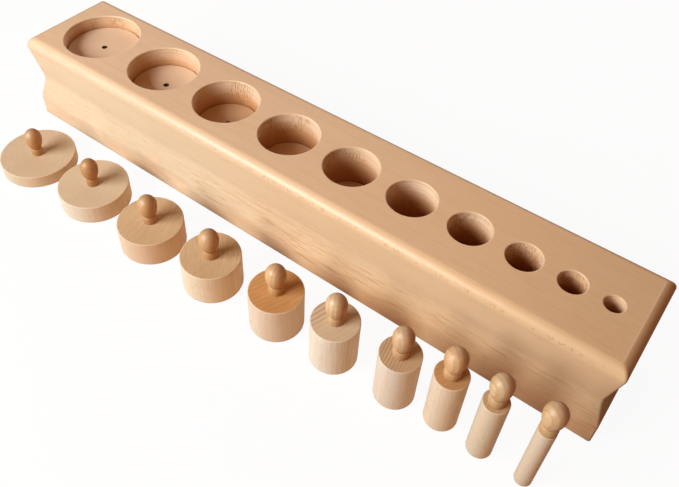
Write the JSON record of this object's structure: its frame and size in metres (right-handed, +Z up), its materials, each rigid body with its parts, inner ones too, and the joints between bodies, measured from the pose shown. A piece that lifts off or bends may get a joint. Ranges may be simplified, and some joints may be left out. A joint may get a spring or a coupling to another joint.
{
  "type": "knobbed cylinder block",
  "caption": "Wooden sorting block with a row of sockets that grow narrower and deeper, and its loose turned cylinders, each lifted by a glued knob, standing in front.",
  "frame": {"origin": "middle of the block's underside, on the surface that it stands on", "axes": "+X along the block towards the narrow, deep socket, +Y from the loose cylinders towards the block, +Z up"},
  "size_m": [0.4728, 0.1475, 0.0775],
  "materials": {
    "block_wood": "satin lacquered beech",
    "cylinder_wood": "sanded bare beech, end grain on top",
    "knob_wood": "gloss lacquered honey-coloured beech"
  },
  "bodies": {
    "block": {"block": "block_wood"},
    "knobbed_cylinder_01": {"cylinder_01": "cylinder_wood", "knob_01": "knob_wood"},
    "knobbed_cylinder_02": {"cylinder_02": "cylinder_wood", "knob_02": "knob_wood"},
    "knobbed_cylinder_03": {"cylinder_03": "cylinder_wood", "knob_03": "knob_wood"},
    "knobbed_cylinder_04": {"cylinder_04": "cylinder_wood", "knob_04": "knob_wood"},
    "knobbed_cylinder_05": {"cylinder_05": "cylinder_wood", "knob_05": "knob_wood"},
    "knobbed_cylinder_06": {"cylinder_06": "cylinder_wood", "knob_06": "knob_wood"},
    "knobbed_cylinder_07": {"cylinder_07": "cylinder_wood", "knob_07": "knob_wood"},
    "knobbed_cylinder_08": {"cylinder_08": "cylinder_wood", "knob_08": "knob_wood"},
    "knobbed_cylinder_09": {"cylinder_09": "cylinder_wood", "knob_09": "knob_wood"},
    "knobbed_cylinder_10": {"cylinder_10": "cylinder_wood", "knob_10": "knob_wood"}
  },
  "joints": [
    {"name": "lift_01", "type": "slide", "parent": "block", "child": "knobbed_cylinder_01", "axis": [0, 0, 1], "range_m": [0, 0.08]},
    {"name": "lift_02", "type": "slide", "parent": "block", "child": "knobbed_cylinder_02", "axis": [0, 0, 1], "range_m": [0, 0.08]},
    {"name": "lift_03", "type": "slide", "parent": "block", "child": "knobbed_cylinder_03", "axis": [0, 0, 1], "range_m": [0, 0.08]},
    {"name": "lift_04", "type": "slide", "parent": "block", "child": "knobbed_cylinder_04", "axis": [0, 0, 1], "range_m": [0, 0.08]},
    {"name": "lift_05", "type": "slide", "parent": "block", "child": "knobbed_cylinder_05", "axis": [0, 0, 1], "range_m": [0, 0.08]},
    {"name": "lift_06", "type": "slide", "parent": "block", "child": "knobbed_cylinder_06", "axis": [0, 0, 1], "range_m": [0, 0.08]},
    {"name": "lift_07", "type": "slide", "parent": "block", "child": "knobbed_cylinder_07", "axis": [0, 0, 1], "range_m": [0, 0.08]},
    {"name": "lift_08", "type": "slide", "parent": "block", "child": "knobbed_cylinder_08", "axis": [0, 0, 1], "range_m": [0, 0.08]},
    {"name": "lift_09", "type": "slide", "parent": "block", "child": "knobbed_cylinder_09", "axis": [0, 0, 1], "range_m": [0, 0.08]},
    {"name": "lift_10", "type": "slide", "parent": "block", "child": "knobbed_cylinder_10", "axis": [0, 0, 1], "range_m": [0, 0.08]}
  ]
}
